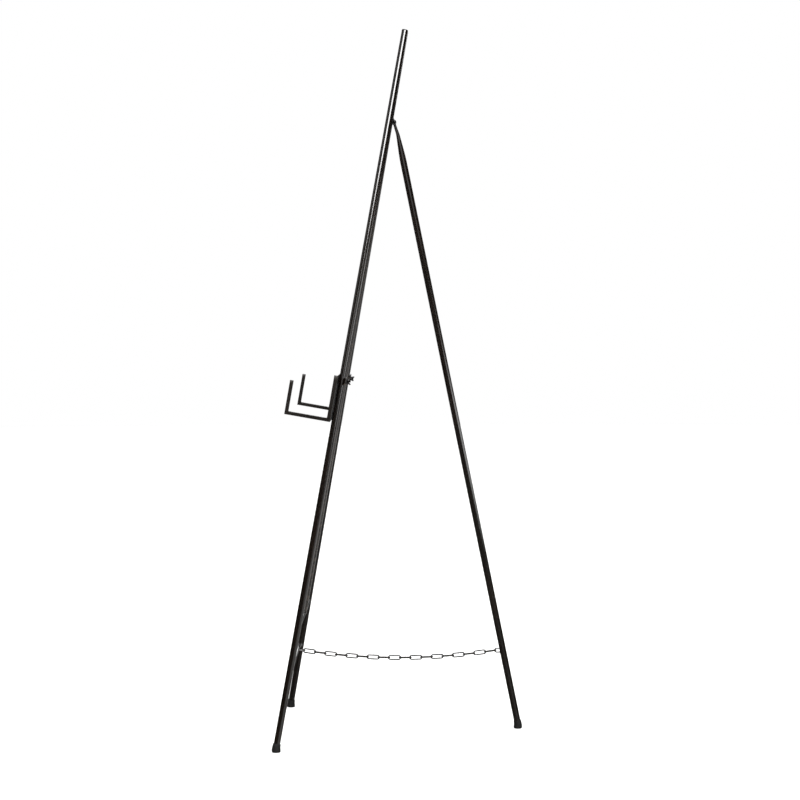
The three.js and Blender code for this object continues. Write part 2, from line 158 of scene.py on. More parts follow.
def loft(rings, joined=False):
    """Quads between successive rings of points; the ends are capped, or joined to each other."""
    count = len(rings[0])
    verts = [p for ring in rings for p in ring]
    faces = []
    steps = len(rings) if joined else len(rings) - 1
    for i in range(steps):
        a, b = i * count, (i + 1) % len(rings) * count
        for j in range(count):
            k = (j + 1) % count
            faces.append((a + j, a + k, b + k, b + j))
    if not joined:
        last = (len(rings) - 1) * count
        faces.append(tuple(range(count))[::-1])
        faces.append(tuple(range(last, last + count)))
    return verts, faces


def softened(profile, radius, steps=4, closed=False):
    """The profile with each corner rounded off by an arc of about this radius."""
    result = []
    count = len(profile)
    for i, (r, h) in enumerate(profile):
        here = Vector((r, h))
        before = Vector(profile[i - 1]) - here
        after = Vector(profile[(i + 1) % count]) - here
        at_end = not closed and i in (0, count - 1)
        straight = at_end or before.length < 1e-9 or after.length < 1e-9 or r < 1e-9
        if straight or abs(before.angle(after) - math.pi) < 0.05:
            result.append((r, h))
            continue
        cut = min(radius, before.length * 0.45, after.length * 0.45)
        a, b = here + before.normalized() * cut, here + after.normalized() * cut
        for k in range(steps + 1):
            t = k / steps
            p = a * (1 - t) ** 2 + here * 2 * t * (1 - t) + b * t ** 2
            result.append((p.x, p.y))
    return result


def ring(radius, height, sides=SIDES):
    turns = [2 * math.pi * i / sides for i in range(sides)]
    return [Vector((radius * math.cos(a), radius * math.sin(a), height)) for a in turns]


def turned(profile, sides=SIDES, joined=False):
    """A lathe shape about Z; the profile's points are (radius, height)."""
    return loft([ring(max(r, 1e-5), h, sides) for r, h in profile], joined)


def swept(path, radius, sides=16, joined=False, ripple=None):
    """A round wire along a path; ripple(i) scales its radius at each point."""
    rings = []
    count = len(path)
    side = None
    for i, p in enumerate(path):
        before = path[i - 1] if joined or i else p
        after = path[(i + 1) % count] if joined or i < count - 1 else p
        along = (after - before).normalized()
        if side is None:
            side = along.orthogonal().normalized()
        side = (side - along * side.dot(along)).normalized()
        up = along.cross(side)
        r = radius * (ripple(i) if ripple else 1)
        turns = [2 * math.pi * j / sides for j in range(sides)]
        rings.append([p + side * (r * math.cos(a)) + up * (r * math.sin(a)) for a in turns])
    if joined:
        twist = rings[-1]
        shift = min(range(sides), key=lambda s: (twist[s] - rings[0][0]).length)
        return loft_twisted(rings, shift)
    return loft(rings)


def loft_twisted(rings, shift):
    """A closed sweep whose frame has turned by some sides on its way round."""
    count = len(rings[0])
    verts, faces = loft(rings)
    faces = faces[:-2]
    last = (len(rings) - 1) * count
    for j in range(count):
        k = (j + 1) % count
        faces.append((last + (j + shift) % count, last + (k + shift) % count, k, j))
    return verts, faces


def bevelled(name, node, width, body, material, steps=3):
    """A piece with a CAD node's own shape and rounded edges."""
    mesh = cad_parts[node].data.copy()
    bm = bmesh.new()
    bm.from_mesh(mesh)
    bmesh.ops.remove_doubles(bm, verts=bm.verts, dist=0.01 * MM)
    flat = math.radians(1)
    bmesh.ops.dissolve_limit(bm, angle_limit=flat, verts=bm.verts, edges=bm.edges)
    corners = [e for e in bm.edges if e.is_manifold and e.calc_face_angle() > math.radians(30)]
    bmesh.ops.bevel(bm, geom=corners, offset=width, segments=steps, profile=0.5,
                    affect="EDGES", clamp_overlap=True)
    bmesh.ops.triangulate(bm, faces=[f for f in bm.faces if len(f.verts) > 4])
    bm.to_mesh(mesh)
    bm.free()
    mesh.name = name
    piece = finish_piece(name, mesh, body, material, nodes=(node,), sharp=60)
    piece.modifiers.new("even_normals", "WEIGHTED_NORMAL").keep_sharp = True
    return piece


# ---------- materials ----------
class Nodes:
    """Adds nodes to one tree and wires them."""

    def __init__(self, tree):
        self.tree = tree

    def add(self, kind, **values):
        node = self.tree.nodes.new(kind)
        for key, value in values.items():
            setattr(node, key, value)
        return node

    def link(self, source, target):
        self.tree.links.new(source, target)

    def feed(self, target, value):
        """Sets a socket to a number or a colour, or links another socket to it."""
        if isinstance(value, tuple):
            target.default_value = (*value, 1)
        elif isinstance(value, (int, float)):
            target.default_value = value
        else:
            self.link(value, target)

    def calculate(self, operation, a, b):
        node = self.add("ShaderNodeMath", operation=operation)
        self.feed(node.inputs[0], a)
        self.feed(node.inputs[1], b)
        return node.outputs[0]

    def times(self, a, b):
        return self.calculate("MULTIPLY", a, b)

    def span(self, source, low, high, value_low, value_high):
        """Goes smoothly from one value to the other while the source goes from low to high."""
        node = self.add("ShaderNodeMapRange", interpolation_type="SMOOTHSTEP")
        for target, value in zip(list(node.inputs)[1:5], (low, high, value_low, value_high)):
            target.default_value = value
        self.link(source, node.inputs[0])
        return node.outputs[0]


class Shader(Nodes):
    """Wires one procedural material."""

    def __init__(self, name, roughness, metallic=0.0, specular=0.5):
        self.material = bpy.data.materials.new(name)
        self.material.use_nodes = True
        super().__init__(self.material.node_tree)
        self.surface = self.tree.nodes["Principled BSDF"]
        self.surface.inputs["Roughness"].default_value = roughness
        self.surface.inputs["Metallic"].default_value = metallic
        self.surface.inputs["Specular IOR Level"].default_value = specular
        self.place = self.add("ShaderNodeTexCoord").outputs["Object"]
        self.height = None

    def noise(self, scale, detail=4.0, roughness=0.55, stretch=(1, 1, 1)):
        mapping = self.add("ShaderNodeMapping")
        mapping.inputs["Scale"].default_value = stretch
        self.link(self.place, mapping.inputs["Vector"])
        node = self.add("ShaderNodeTexNoise")
        node.inputs["Scale"].default_value = scale
        node.inputs["Detail"].default_value = detail
        node.inputs["Roughness"].default_value = roughness
        self.link(mapping.outputs["Vector"], node.inputs["Vector"])
        return node.outputs["Fac"]

    def ramp(self, source, *stops):
        """A colour ramp; each stop is (position, colour), and a colour may be one number."""
        node = self.add("ShaderNodeValToRGB")
        while len(node.color_ramp.elements) < len(stops):
            node.color_ramp.elements.new(0.5)
        for element, (position, colour) in zip(node.color_ramp.elements, stops):
            element.position = position
            rgb = (colour,) * 3 if isinstance(colour, (int, float)) else colour
            element.color = (*rgb, 1)
        self.link(source, node.inputs["Fac"])
        return node.outputs["Color"]

    def mix(self, factor, a, b):
        node = self.add("ShaderNodeMix", data_type="RGBA")
        for place, value in ((0, factor), (6, a), (7, b)):
            self.feed(node.inputs[place], value)
        return node.outputs[2]

    def worn_edges(self, low, high):
        """Goes from 0 to 1 where the mesh turns convex."""
        pointed = self.add("ShaderNodeNewGeometry").outputs["Pointiness"]
        return self.ramp(pointed, (low, 0), (high, 1))

    def bump(self, source, depth, strength=1.0):
        node = self.add("ShaderNodeBump")
        node.inputs["Distance"].default_value = depth
        node.inputs["Strength"].default_value = strength
        self.link(source, node.inputs["Height"])
        if self.height:
            self.link(self.height, node.inputs["Normal"])
        self.height = node.outputs["Normal"]
        self.link(self.height, self.surface.inputs["Normal"])

    def colour(self, source):
        self.link(source, self.surface.inputs["Base Color"])

    def rough(self, source):
        self.link(source, self.surface.inputs["Roughness"])


def enamel(name, dark, light, worn, gloss, peel, specular, coat):
    """Baked enamel: cloudy tint, orange peel, dull rubbed patches and bare chips on edges."""
    s = Shader(name, gloss, specular=specular)
    s.surface.inputs["Coat Weight"].default_value = coat
    s.surface.inputs["Coat Roughness"].default_value = gloss * 0.8
    clouds = s.ramp(s.noise(14, 6, stretch=(1, 1, 0.35)), (0.32, dark), (0.72, light))
    specks = s.ramp(s.noise(620, 2), (0.66, 0), (0.74, 1))
    edges = s.times(s.worn_edges(0.53, 0.6), s.ramp(s.noise(160, 5), (0.45, 0), (0.6, 1)))
    tint = s.mix(s.times(specks, 0.35), clouds, worn)
    s.colour(s.mix(edges, tint, worn))
    rubbed = s.noise(38, 7, 0.65, stretch=(1, 1, 0.5))
    s.rough(s.ramp(rubbed, (0.35, gloss * 0.85), (0.6, gloss * 1.1), (0.78, gloss * 1.6)))
    s.bump(s.noise(700, 2), peel)
    s.bump(s.noise(90, 3, stretch=(1, 1, 0.4)), peel * 2.2, 0.5)
    return s.material


def dark_steel(name, dark, light, bright, gloss):
    """Blackened steel wire and hardware: mottled, with metal showing where pieces rub."""
    s = Shader(name, gloss, metallic=0.7, specular=0.4)
    mottle = s.ramp(s.noise(220, 6, 0.6), (0.3, dark), (0.7, light))
    rubbed = s.times(s.worn_edges(0.56, 0.7), s.ramp(s.noise(330, 4), (0.5, 0.05), (0.68, 0.8)))
    s.colour(s.mix(rubbed, mottle, bright))
    s.rough(s.ramp(s.noise(260, 5), (0.3, gloss * 0.8), (0.75, gloss * 1.5)))
    s.bump(s.noise(900, 4), 0.03 * MM)
    return s.material


def rubber():
    """Matt moulded rubber with floor dust near the sole."""
    s = Shader("foot_rubber", 0.7, specular=0.35)
    black, grey = (0.002, 0.002, 0.0022), (0.0065, 0.0062, 0.006)
    blotch = s.ramp(s.noise(70, 6, 0.6), (0.3, black), (0.75, grey))
    height = s.add("ShaderNodeSeparateXYZ")
    s.link(s.place, height.inputs["Vector"])
    low = s.ramp(height.outputs["Z"], (0.0, 1), (0.007, 0))
    dust = s.times(low, s.ramp(s.noise(240, 5, 0.7), (0.42, 0), (0.68, 0.6)))
    s.colour(s.mix(dust, blotch, (0.03, 0.027, 0.024)))
    s.rough(s.ramp(s.noise(150, 4), (0.3, 0.58), (0.7, 0.82)))
    s.bump(s.noise(1100, 3), 0.05 * MM)
    s.bump(s.noise(120, 3), 0.1 * MM, 0.4)
    return s.material


def plastic():
    """Fine-grained moulded plastic."""
    s = Shader("plug_plastic", 0.45, specular=0.45)
    black, grey = (0.003, 0.003, 0.0032), (0.008, 0.0077, 0.0077)
    s.colour(s.ramp(s.noise(90, 4), (0.3, black), (0.72, grey)))
    s.rough(s.ramp(s.noise(300, 4), (0.3, 0.36), (0.72, 0.58)))
    s.bump(s.noise(1600, 2), 0.025 * MM)
    return s.material


BRONZE = enamel("bronze_enamel", (0.003, 0.0019, 0.0012), (0.0075, 0.0047, 0.0031),
                (0.06, 0.045, 0.034), 0.15, 0.0045 * MM, specular=0.8, coat=0.6)
SATIN = enamel("satin_enamel", (0.0048, 0.0037, 0.0028), (0.0115, 0.009, 0.0072),
               (0.08, 0.066, 0.054), 0.3, 0.012 * MM, specular=0.45, coat=0.15)
CHAIN_STEEL = dark_steel("chain_steel", (0.007, 0.0055, 0.0045), (0.02, 0.0165, 0.0135),
                         (0.16, 0.14, 0.125), 0.26)
HARDWARE = dark_steel("black_hardware", (0.006, 0.0056, 0.0054), (0.016, 0.015, 0.0142),
                      (0.16, 0.15, 0.14), 0.28)
RUBBER = rubber()
PLASTIC = plastic()


# ---------- tubes and plugs ----------
def open_tube(name, length, radius, space, foot_height=None):
    """A tube with rounded rims; foot_height(x, y) shapes a coped lower end."""
    inner = radius - WALL
    profile = [(inner, 0), (radius, 0), (radius, length), (inner, length)]
    rings = [ring(r, h) for r, h in softened(profile, 0.3 * MM, closed=True)]
    if foot_height:
        for points_round in rings:
            for p in points_round:
                if p.z < length / 2:
                    p.z = foot_height(p.x, p.y)
    return make(f"{name}_bar", *loft(rings, joined=True), "frame", "tube_finish", BRONZE,
                space, (name,))


PLUG_STEM = 8 * MM


def plug(node, space, radius):
    """A pressed-in cap with a crowned top and a rounded rim."""
    lo, hi = box_in(space, node)
    stem = radius - WALL
    rim = hi.x - 0.05 * MM
    step = lo.z + PLUG_STEM + GAP
    profile = [(0, lo.z), (stem, lo.z), (stem, step), (rim, step), (rim, hi.z - 0.5 * MM),
               (rim - 0.8 * MM, hi.z), (rim - 1.4 * MM, hi.z - 0.25 * MM), (0, hi.z - 0.25 * MM)]
    make(f"{node}_cap", *turned(softened(profile, 0.35 * MM)), "frame", "plug_plastic", PLASTIC,
         space, (node,))


def front_legs():
    for _, hand in HANDS:
        low, high, radius = AXIS[f"{hand}_front_leg"]
        space = upward((low, high), low)
        open_tube(f"{hand}_front_leg", (high - low).length, radius, space)
        plug(f"{hand}_leg_plug", space, radius)


def mast():
    lo, hi = box_in(PLANE, "mast")
    place = PLANE @ Matrix.Translation((0, 0, lo.z))
    saddle = BAR_R - EMBED

    def coped(x, y):
        return math.sqrt(max(saddle ** 2 - y ** 2, 0))

    open_tube("mast", hi.z - lo.z, TUBE_R, place, coped)
    plug("mast_plug", PLANE, TUBE_R)
    reach = 52  # degrees of the tube's side that each weld covers, either way
    for side, hand in HANDS:
        path = []
        for i in range(25):
            a = math.radians(reach * (i / 12 - 1))
            y = TUBE_R * math.sin(a)
            path.append(Vector((side * TUBE_R * math.cos(a), y,
                                lo.z + math.sqrt(max(BAR_R ** 2 - y ** 2, 0)))))
        bead(f"mast_weld_{hand}", path, "frame", joined=False)


# ---------- welds ----------
def bead(name, path, body, radius=1.1 * MM, joined=True, space=None):
    """A painted weld bead: overlapping ripples along a seam, a little uneven."""
    seed = sum(map(ord, name)) % 97
    length = sum((b - a).length for a, b in zip(path, path[1:]))
    waves = max(length / (1.5 * MM), 3)
    count = len(path)

    def ripple(i):
        t = i / count
        wobble = noise.noise(Vector((t * 9, seed, 0.5)))
        return 1 + 0.16 * math.sin(2 * math.pi * round(waves) * t) + 0.22 * wobble

    shape = swept(path, radius, 10, joined, ripple)
    slot, material = ("holder_finish", SATIN) if body == "holder" else ("tube_finish", BRONZE)
    make(name, *shape, body, slot, material, PLANE if space is None else space)


def on_leg(side, y, z):
    """Where a line across the plane at (y, z) meets the surface of a front leg."""
    low, high = LEG_ENDS
    middle = low.x + (high.x - low.x) * (z - low.z) / (high.z - low.z)
    slant = math.cos(math.atan2(low.x - high.x, high.z - low.z))
    return side * (middle - math.sqrt(max(TUBE_R ** 2 - y ** 2, 0)) / slant)


# ---------- crossbars ----------
def crossbar(node, radius, centre, samples=41):
    """A bar between the legs; centre(x) is its height, and its ends follow the legs' surface."""
    turns = [2 * math.pi * i / SIDES for i in range(SIDES)]

    def end(side):
        outer = on_leg(side, 0, centre(0.26)) + side * EMBED
        z = centre(outer)
        return [Vector((on_leg(side, radius * math.cos(a), z + radius * math.sin(a)) + side * EMBED,
                        radius * math.cos(a), radius * math.sin(a))) for a in turns]

    ends = end(-1), end(1)
    rings = []
    for k in range(samples):
        t = k / (samples - 1)
        row = []
        for a, b in zip(*ends):
            x = a.x + (b.x - a.x) * t
            row.append(Vector((x, a.y, centre(x) + a.z)))
        rings.append(row)
    make(f"{node}_bar", *loft(rings), "frame", "tube_finish", BRONZE, PLANE, (node,))
    for (side, hand), row in zip(HANDS, (rings[-1], rings[0])):
        bead(f"{node}_weld_{hand}", [p + Vector((-side * 0.5 * MM, 0, 0)) for p in row], "frame")


def crossbars():
    lo, hi = box_in(PLANE, "upper_crossbar")
    crossbar("upper_crossbar", BAR_R, lambda x: (lo.z + hi.z) / 2)
    turn = np.array(PLANE.inverted())
    co = points("lower_crossbar") @ turn[:3, :3].T + turn[:3, 3]
    radius = (co[:, 1].max() - co[:, 1].min()) / 2
    inner = co[np.abs(co[:, 0]) < 0.2]
    sag, top = np.polyfit(inner[:, 0] ** 2, inner[:, 2], 1)
    crossbar("lower_crossbar", float(radius), lambda x: float(top + sag * x * x))


def tie_bars():
    for side, hand in HANDS:
        node = f"{hand}_tie_bar"
        bevelled(f"{node}_strip", node, 0.6 * MM, "frame", BRONZE)
        lo, hi = box_in(PLANE, node)
        half, low, high = hi.y, lo.z + 0.5 * MM, hi.z - 0.5 * MM
        for name, face in (("leg", lambda y, z: on_leg(side, y, z)),
                           ("mast", lambda y, z: side * math.sqrt(TUBE_R ** 2 - y * y))):
            for word, y in (("back", half), ("front", -half)):
                path = []
                for i in range(31):
                    z = low + (high - low) * i / 30
                    path.append(Vector((face(y, z), y, z)))
                bead(f"{node}_weld_{name}_{word}", path, "frame", 0.9 * MM, joined=False)


# ---------- feet ----------
def foot(node, body, tube):
    """A moulded rubber tip: dished level sole, rounded flare, and a socket round the tube."""
    low, high, radius = AXIS[tube]
    start = floor_point((low, high))
    up = (high - low).normalized()
    co = points(node)
    rise = (co - np.array(start)) @ np.array(up)
    top = float(rise.max())
    at_rim = rise > top - 0.05 * MM
    off = co[at_rim] - np.array(start) - np.outer(rise[at_rim], np.array(up))
    rim = float(np.linalg.norm(off, axis=1).max())
    sole = co[co[:, 2] < 0.05 * MM]
    lo, hi = Vector(sole.min(0)), Vector(sole.max(0))
    wide = (hi.x - lo.x) / 2
    socket = (low - start).length - GAP
    fit = radius + 0.05 * MM
    outer = [(0, 0.8 * MM), (wide * 0.5, 0.8 * MM), (wide * 0.62, 0), (wide - 1.7 * MM, 0),
             (wide, 2.6 * MM), (rim + 1.2 * MM, 7 * MM), (rim + 0.5 * MM, 13 * MM),
             (rim, top), (fit, top)]
    outer = softened(outer, 1.1 * MM, steps=6)
    inner = [(fit, top - 1 * MM), (fit, socket), (0, socket)]
    side = (X - up * up.dot(X)).normalized()
    back = up.cross(side)
    rings = []
    for i, (r, h) in enumerate(outer + inner):
        tilt = 1 if i >= len(outer) else min(h / top, 1)
        middle = ((lo + hi) / 2 + Z * h).lerp(start + up * h, tilt)
        e1 = X.lerp(side, tilt).normalized()
        e2 = Vector((0, 1, 0)).lerp(back, tilt).normalized()
        rings.append([middle + e1 * p.x + e2 * p.y for p in ring(max(r, TINY), 0, 64)])
    make(f"{node}_tip", *loft(rings), body, "foot_rubber", RUBBER, None, (node,), sharp=50)


# ---------- hinge ----------
def threaded(radius, start, end, pitch=THREAD_PITCH, per_turn=8, sides=32):
    """Rings of a rod with a real helical thread, fading out at both ends."""
    rings = []
    count = max(int((end - start) / pitch * per_turn), 4)
    for i in range(count + 1):
        h = start + (end - start) * i / count
        row = []
        for j in range(sides):
            a = 2 * math.pi * j / sides
            phase = (h / pitch - j / sides) % 1
            groove = 1 - abs(2 * phase - 1)
            edge = min(i, count - i) / per_turn
            r = radius - 0.55 * pitch * groove * min(edge, 1)
            row.append(Vector((r * math.cos(a), r * math.sin(a), h)))
        rings.append(row)
    return rings


def hinge():
    bevelled("hinge_bracket_clevis", "hinge_bracket", 0.45 * MM, "frame", BRONZE, 4)
    lo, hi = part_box("hinge_pin")
    middle = (lo.x + hi.x) / 2
    place = basis(Z, Vector((0, -1, 0)), X, Vector((middle, PIN.y, PIN.z)))
    head = (hi.z - lo.z) / 2
    near, far = lo.x - middle, hi.x - middle
    shank = far - 2.8 * MM
    rings = [ring(TINY, near, 32), ring(PIN_R - 0.6 * MM, near, 32)]
    rings += threaded(PIN_R, near + 0.4 * MM, near + 7 * MM, 0.8 * MM)
    crown = [(PIN_R, near + 7.3 * MM), (PIN_R, shank - 0.3 * MM), (PIN_R + 0.3 * MM, shank),
             (head - 0.3 * MM, shank), (head, shank + 0.3 * MM), (head, shank + 1.3 * MM)]
    for i in range(1, 9):
        a = math.pi / 2 * i / 8
        crown.append((head * math.cos(a), shank + (1.3 + 1.5 * math.sin(a)) * MM))
    rings += [ring(max(r, TINY), h, 32) for r, h in crown]
    make("hinge_pin_bolt", *loft(rings), "frame", "hardware", HARDWARE, place, ("hinge_pin",), 50)
    bevelled("hinge_nut_hex", "hinge_nut", 0.5 * MM, "frame", HARDWARE, 4)


# ---------- back leg ----------
def combined(piece, *steps):
    """Applies boolean steps and returns the mesh; each step is (operation, verts, faces)."""
    for operation, verts, faces in steps:
        mesh = bpy.data.meshes.new("tool")
        mesh.from_pydata([tuple(v) for v in verts], [], faces)
        tool = bpy.data.objects.new("tool", mesh)
        bpy.context.scene.collection.objects.link(tool)
        cut = piece.modifiers.new("cut", "BOOLEAN")
        cut.operation, cut.object, cut.solver = operation, tool, "EXACT"
        applied(piece)
        bpy.data.objects.remove(tool)
    return piece.data


def applied(piece):
    """Bakes a piece's modifiers into its mesh."""
    graph = bpy.context.evaluated_depsgraph_get()
    mesh = bpy.data.meshes.new_from_object(piece.evaluated_get(graph))
    piece.modifiers.clear()
    piece.data = mesh
    return mesh


def across(radius, half, sides=40, edge=0.4 * MM):
    """A short rod along X with rounded edges."""
    profile = [(0, -half), (radius, -half), (radius, half), (0, half)]
    verts, faces = turned(softened(profile, edge), sides)
    turn = basis(Z, Vector((0, -1, 0)), X, Vector())
    return [turn @ v for v in verts], faces


def smooth(value, low, high):
    """Goes from 0 to 1 while the value goes from low to high, without corners."""
    t = min(max((value - low) / (high - low), 0), 1)
    return t * t * (3 - 2 * t)


FLAT_LENGTH = 100 * MM  # the back leg's tube gets flatter over this length
FLAT_HALF = 3.5 * MM  # half its thickness where it is flattest
CRANK_LENGTH = 34 * MM  # and it bends forward over this length


def back_leg():
    """A tube pressed flat towards its pin, where it bends forward and ends in a rolled eye."""
    lo, hi = box_in(BACK_LEG, "back_leg_tube")
    wide, eye = hi.x, hi.z
    behind = (BACK_LEG.inverted() @ AXIS["back_leg_tube"][0]).y
    heights = [lo.z, lo.z + 0.3 * MM]
    heights += [lo.z + (-FLAT_LENGTH - lo.z) * i / 40 for i in range(1, 40)]
    heights += [-FLAT_LENGTH * (1 - i / 60) for i in range(60)] + [-1 * MM]
    rings = []
    for h in heights:
        t = smooth(h, -FLAT_LENGTH, -4 * MM)
        a, b = BACK_R + (wide - BACK_R) * t, BACK_R + (FLAT_HALF - BACK_R) * t
        y = behind * (1 - smooth(h, -CRANK_LENGTH, -3 * MM))
        power = 2 / (2 + 1.2 * t)
        row = []
        for p in ring(1, 0):
            row.append(Vector((a * math.copysign(abs(p.x) ** power, p.x),
                               y + b * math.copysign(abs(p.y) ** power, p.y), h)))
        rings.append(row)
    verts, faces = loft(rings)
    mesh = bpy.data.meshes.new("back_leg")
    mesh.from_pydata([tuple(v) for v in verts], [], faces)
    blank = bpy.data.objects.new("blank", mesh)
    bpy.context.scene.collection.objects.link(blank)
    hole = across(PIN_R + GAP, 30 * MM)
    mesh = combined(blank, ("UNION", *across(eye, wide)), ("DIFFERENCE", *hole))
    bpy.data.objects.remove(blank)
    finish_piece("back_leg_bar", mesh, "back_leg", BRONZE, BACK_LEG,
                 ("back_leg_tube",), sharp=35)


# ---------- chain ----------
WELD_SWELL = 0.13  # the wire is this much thicker at a link's weld
WELD_WIDTH = 0.9 * MM


def link(number):
    """One long link: round wire bent into a stadium, closed by a weld on one side."""
    node = f"chain_link_{number:02d}"
    co = points(node)
    centre = co.mean(0)
    rows = np.linalg.svd(co - centre, full_matrices=False)[2]
    along, wide, thick = (np.abs((co - centre) @ row).max() for row in rows)
    facet = math.cos(math.pi / 12)  # the CAD's bends are polygons inside the true circle
    outer = wide / facet
    straight = along - outer * facet
    bend = outer - thick
    u, v = Vector(rows[0]), Vector(rows[1])
    path, seam = [], []
    for way in (1, -1):
        for i in range(17):
            a = -math.pi / 2 + math.pi * i / 16
            path.append(Vector(centre) + u * (way * (straight + bend * math.cos(a)))
                        + v * (way * bend * math.sin(a)))
            seam.append(1)
        for i in range(1, 12):
            x = straight * (1 - 2 * i / 12)
            path.append(Vector(centre) + u * (way * x) + v * (way * bend))
            seam.append(1 + (WELD_SWELL * math.exp(-(x / WELD_WIDTH) ** 2) if way > 0 else 0))
    shape = swept(path, thick, 16, True, lambda i: seam[i])
    body = "chain_front" if number <= LINKS // 2 else "chain_rear"
    make(f"{node}_wire", *shape, body, "chain_steel", CHAIN_STEEL, None, (node,))


def staple(node, body, away, wide):
    """A half ring of wire; away points from its bight towards its two ends."""
    lo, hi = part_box(node)
    size = hi - lo
    wire = min(size.x, size.z) / 2
    bend = max(size.x, size.z) / 2 - wire
    bight = lo.y + wire if away.y > 0 else hi.y - wire
    centre = Vector(((lo.x + hi.x) / 2, bight + away.y * bend, (lo.z + hi.z) / 2))
    length = size.y - wire - bend - GAP
    path = [centre + wide * bend + away * length * (1 - i / 8) for i in range(8)]
    path += [centre + wide * (bend * math.cos(a)) - away * (bend * math.sin(a))
             for a in (math.pi * i / 20 for i in range(21))]
    path += [centre - wide * bend + away * length * (i / 8) for i in range(1, 9)]
    make(f"{node}_wire", *swept(path, wire, 16), body, "tube_finish", BRONZE, None, (node,))
    for way, word in ((1, "a"), (-1, "b")):
        tip = centre + wide * (way * bend) + away * (length - 0.6 * MM)
        loop = [tip + wide * (wire * math.cos(a)) + away.cross(wide) * (wire * math.sin(a))
                for a in (2 * math.pi * i / 24 for i in range(24))]
        bead(f"{node}_weld_{word}", loop, body, 0.8 * MM, space=Matrix.Identity(4))


# ---------- holder ----------
def hook(hand):
    """Square bar mitred and welded twice: post at the back, arm, and upright at the front."""
    parts = [f"{hand}_hook_{part}" for part in ("post", "arm", "upright")]
    (post_lo, post_hi), (arm_lo, arm_hi), (up_lo, up_hi) = (box_in(PLANE, p) for p in parts)
    half = (post_hi.x - post_lo.x) / 2
    x = (post_hi.x + post_lo.x) / 2
    back, front, low = post_hi.y - half, up_lo.y + half, arm_lo.z + half
    soft = 0.45 * MM
    outline = []
    for cx, cy in ((1, 1), (-1, 1), (-1, -1), (1, -1)):
        for i in range(5):
            a = math.atan2(cy, cx) + math.radians(-45 + 22.5 * i)
            outline.append((cx * (half - soft) + soft * math.cos(a),
                            cy * (half - soft) + soft * math.sin(a)))
    stops = [((back, post_hi.z), (1, 0)), ((back, low), (1, -1)),
             ((front, low), (-1, -1)), ((front, up_hi.z), (-1, 0))]
    rings = []

    def section(y, z, outward, scale=1.0):
        middle = Vector((x, y, z))
        out = Vector((0, *outward))
        rings.append([middle + X * (p * scale) + out * (q * scale) for p, q in outline])

    def end(place, outward, way):
        for drop, scale in ((0, 0.84), (0.15 * MM, 0.95), (0.6 * MM, 1))[::way]:
            section(place[0], place[1] - drop, outward, scale)

    end(*stops[0], 1)
    for (a, _), (b, corner), outward in zip(stops, stops[1:], ((1, 0), (0, -1), (-1, 0))):
        for i in range(1, 16):
            t = 0.05 + 0.9 * i / 16
            section(a[0] + (b[0] - a[0]) * t, a[1] + (b[1] - a[1]) * t, outward)
        if corner != (-1, 0):
            section(*b, corner)
    end(*stops[-1], -1)
    make(f"{hand}_hook_bar", *loft(rings), "holder", "holder_finish", SATIN, PLANE, parts, 50)
    for word, y in (("back", back - half), ("front", front + half)):
        seam = [Vector((x + (half - 0.9 * MM) * (i / 12 - 1), y, low + half)) for i in range(25)]
        bead(f"{hand}_hook_weld_{word}", seam, "holder", 0.9 * MM, joined=False)


def clamp(hand):
    """Carriage bolt, clamp bar, spacer and washer on one side."""
    for part, soft in (("clamp_bar", 0.45), ("clamp_spacer", 0.6)):
        node = f"{hand}_{part}"
        bevelled(f"{node}_steel", node, soft * MM, "holder", SATIN)
    lo, hi = box_in(PLANE, f"{hand}_clamp_bolt")
    place = PLANE @ basis(X, Vector((0, 0, -1)), Vector((0, 1, 0)),
                          Vector(((lo.x + hi.x) / 2, 0, (lo.z + hi.z) / 2)))
    head, dome = (hi.x - lo.x) / 2, 3.2 * MM
    shank = lo.y + dome
    rings = []
    for i in range(10):
        a = math.pi / 2 * (1 - i / 9)
        rings.append(ring(max(head * math.cos(a), TINY), shank - dome * math.sin(a), 32))
    rings += [ring(head - 0.2 * MM, shank, 32), ring(BOLT_R, shank, 32),
              ring(BOLT_R, shank + 2 * MM, 32)]
    rings += threaded(BOLT_R, shank + 2.3 * MM, hi.y - 0.7 * MM)
    rings += [ring(BOLT_R - 0.6 * MM, hi.y, 32), ring(TINY, hi.y, 32)]
    make(f"{hand}_carriage_bolt", *loft(rings), "holder", "hardware", HARDWARE, place,
         (f"{hand}_clamp_bolt",), 50)

    lo, hi = box_in(PLANE, f"{hand}_washer")
    bore = BOLT_R + GAP
    outer = (hi.x - lo.x) / 2
    profile = [(bore, lo.y), (outer, lo.y), (outer, hi.y), (bore, hi.y)]
    shape = turned(softened(profile, 0.25 * MM, closed=True), joined=True)
    make(f"{hand}_flat_washer", *shape, "holder", "hardware", HARDWARE, place, (f"{hand}_washer",))


def wing_nut(hand):
    """A cast wing nut: the CAD shape with its corners flowed round."""
    node = f"{hand}_wing_nut"
    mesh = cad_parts[node].data.copy()
    blank = bpy.data.objects.new("blank", mesh)
    bpy.context.scene.collection.objects.link(blank)
    grain = blank.modifiers.new("grain", "REMESH")
    grain.mode, grain.voxel_size = "VOXEL", 0.28 * MM
    flow = blank.modifiers.new("flow", "SMOOTH")
    flow.factor, flow.iterations = 0.5, 7
    mesh = applied(blank)
    bpy.data.objects.remove(blank)
    finish_piece(f"{hand}_wing_nut_cast", mesh, f"wing_nut_{hand}", HARDWARE,
                 None, (node,), sharp=180)


def holder():
    bevelled("holder_back_plate", "holder_plate", 0.35 * MM, "holder", SATIN)
    for _, hand in HANDS:
        hook(hand)
        clamp(hand)
        wing_nut(hand)


